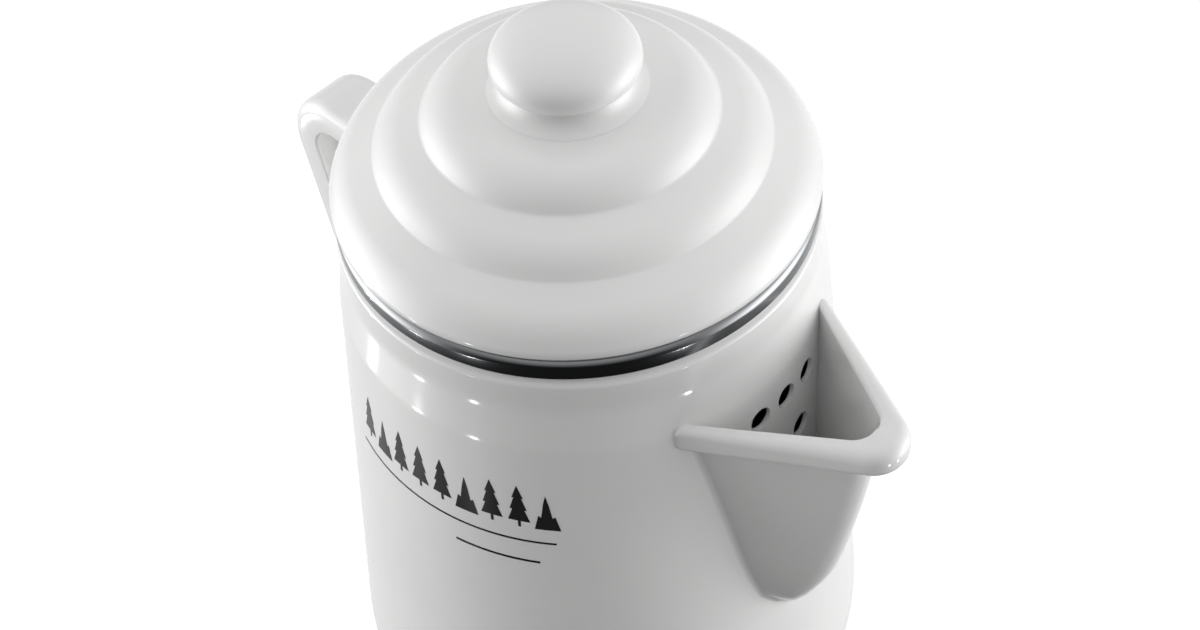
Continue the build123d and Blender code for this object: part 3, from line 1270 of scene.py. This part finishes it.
@dataclass
class Studio:
    """Pale floor, soft surrounding light that is dim on the near side, and the camera."""

    dark_heading: float = -51.0
    side_level: float = 4.3
    side_power: float = 10.0
    top_level: float = 0.82
    sweep_level: float = 3.2
    apron_level: float = 2.5
    back_level: float = 0.40
    base_level: float = 0.02
    camera_place: tuple[float, float, float] = (243.71, -223.32, 508.10)
    camera_aim: tuple[float, float, float] = (1.995, 2.139, 130.933)
    camera_roll: float = -4.872
    lens: float = 56.856
    floor_radius: float = 4000.0
    floor_glow: float = 0.45
    lamp_headings: tuple = (-151.0, -123.0, -96.0, -3.0, 21.0)
    lamp_rise: float = -36.0
    lamp_distance_mm: float = 1500.0
    lamp_size_mm: float = 45.0
    lamp_power: float = 0.6

    def make_sky(self) -> None:
        """Broad light from both sides, overhead and behind, with a dim near side."""
        world = bpy.data.worlds.new("studio")
        bpy.context.scene.world = world
        world.use_nodes = True
        tree = world.node_tree
        tree.nodes.clear()
        place = add_node(tree, "ShaderNodeTexCoord", {}, {}).outputs["Generated"]
        heading = math.radians(self.dark_heading)
        directions = ((-math.sin(heading), math.cos(heading), 0.0), (0.0, 0.0, 1.0),
                      (-math.cos(heading), -math.sin(heading), 0.0))
        across, up, back = (add_node(tree, "ShaderNodeVectorMath", {"operation": "DOT_PRODUCT", 1: direction},
                                     {0: place}).outputs["Value"] for direction in directions)
        under = combine(tree, "MAXIMUM", combine(tree, "MULTIPLY", up, -1.0), 0.0)
        side_lobe = combine(tree, "POWER", combine(tree, "ABSOLUTE", across), self.side_power)
        side = combine(tree, "MULTIPLY", combine(tree, "MULTIPLY", side_lobe, self.side_level),
                       combine(tree, "MULTIPLY_ADD", under, self.apron_level, 1.0))
        top = combine(tree, "MULTIPLY", combine(tree, "MAXIMUM", up, 0.0), self.top_level)
        back_lobe = combine(tree, "MULTIPLY", combine(tree, "MAXIMUM", back, 0.0), self.back_level)
        rear = combine(tree, "MULTIPLY", back_lobe,
                       combine(tree, "MULTIPLY_ADD", under, self.sweep_level, 1.0))
        total = combine(tree, "ADD", combine(tree, "ADD", side, top), rear)
        level = combine(tree, "ADD", total, self.base_level)
        glow = add_node(tree, "ShaderNodeBackground", {"Color": linear("#FFFFFF")}, {"Strength": level})
        add_node(tree, "ShaderNodeOutputWorld", {}, {"Surface": glow.outputs[0]})

    def make_lamps(self) -> None:
        """Small lamps low on both sides, which glint on every rounded edge."""
        rise = math.radians(self.lamp_rise)
        for heading in self.lamp_headings:
            turn = math.radians(heading)
            out = Vector((math.cos(rise) * math.cos(turn), math.cos(rise) * math.sin(turn), math.sin(rise)))
            data = bpy.data.lights.new("small_lamp", "AREA")
            data.size = self.lamp_size_mm * MM
            data.energy = self.lamp_power
            lamp = bpy.data.objects.new("small_lamp", data)
            bpy.context.scene.collection.objects.link(lamp)
            aim = Vector((0.0, 0.0, self.camera_aim[2] * MM))
            lamp.matrix_world = (Matrix.Translation(aim + out * self.lamp_distance_mm * MM)
                                 @ out.to_track_quat("Z", "Y").to_matrix().to_4x4())

    def make_floor(self) -> None:
        """Round pale floor that casts no colour back on the pot."""
        bm = bmesh.new()
        bmesh.ops.create_circle(bm, cap_ends=True, segments=96, radius=self.floor_radius)
        floor = make_object(bm, "studio_floor")
        material, tree = new_tree("pale_floor")
        shader = add_node(tree, "ShaderNodeBsdfPrincipled",
                          {"Base Color": linear("#E6E6E6"), "Roughness": 0.9,
                           "Emission Color": linear("#FFFFFF"), "Emission Strength": self.floor_glow}, {})
        close_tree(tree, shader)
        floor.data.materials.append(material)
        floor.visible_diffuse = False
        floor.visible_glossy = False
        floor.visible_shadow = False

    def make_camera(self) -> None:
        """Camera above the spout's near side, looking down on the lid."""
        data = bpy.data.cameras.new("camera")
        data.lens = self.lens
        data.sensor_width = 36.0
        camera = bpy.data.objects.new("camera", data)
        bpy.context.scene.collection.objects.link(camera)
        place = Vector(self.camera_place) * MM
        look = (Vector(self.camera_aim) * MM - place).to_track_quat("-Z", "Y").to_matrix().to_4x4()
        camera.matrix_world = (Matrix.Translation(place) @ look
                               @ Matrix.Rotation(math.radians(self.camera_roll), 4, "Z"))
        bpy.context.scene.camera = camera

    def build(self) -> None:
        """Set up the floor, light and camera."""
        self.make_sky()
        self.make_lamps()
        self.make_floor()
        self.make_camera()
        bpy.context.scene.view_settings.view_transform = "Standard"


def main() -> None:
    """Build the percolator and the studio round it."""
    logging.basicConfig(level=logging.INFO, format="%(name)s: %(message)s")
    finishes = make_finishes()
    pot = Pot(finishes)
    pot.build()
    Spout(finishes, pot).build()
    Handle(finishes, pot).build()
    Motif(finishes, pot).build()
    Lid(finishes).build()
    Insert(finishes).build()
    Studio().build()


if __name__ == "__main__":
    main()
